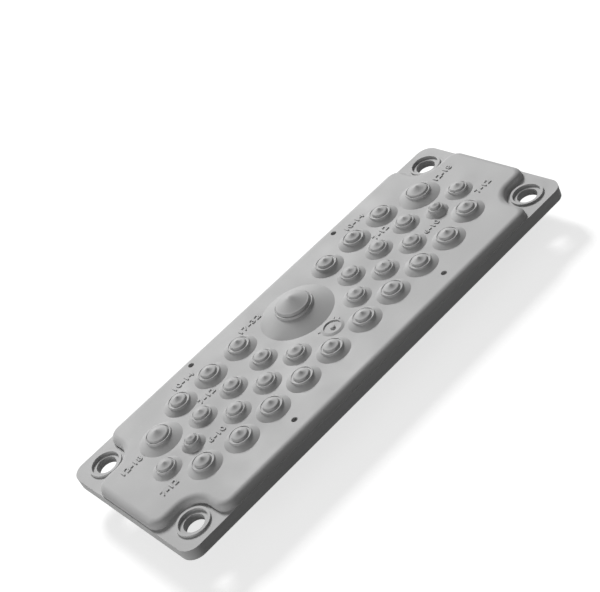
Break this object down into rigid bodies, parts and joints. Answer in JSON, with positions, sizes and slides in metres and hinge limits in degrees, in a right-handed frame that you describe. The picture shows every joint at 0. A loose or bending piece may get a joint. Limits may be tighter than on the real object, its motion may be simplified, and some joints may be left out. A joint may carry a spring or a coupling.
{
  "type": "cable entry plate",
  "caption": "Rectangular moulded flange plate with stepped cone membranes and gripping collars that seals cables of several sizes into a cabinet.",
  "frame": {"origin": "centre of the four screw holes, on the recessed floor of the underside", "axes": "+X along the plate, +Y towards the side with the largest entry, +Z out of the membrane face"},
  "size_m": [0.2496, 0.0944, 0.0336],
  "materials": {
    "grey_elastomer": "satin"
  },
  "bodies": {
    "root": {"entry_plate": "grey_elastomer"}
  },
  "joints": []
}
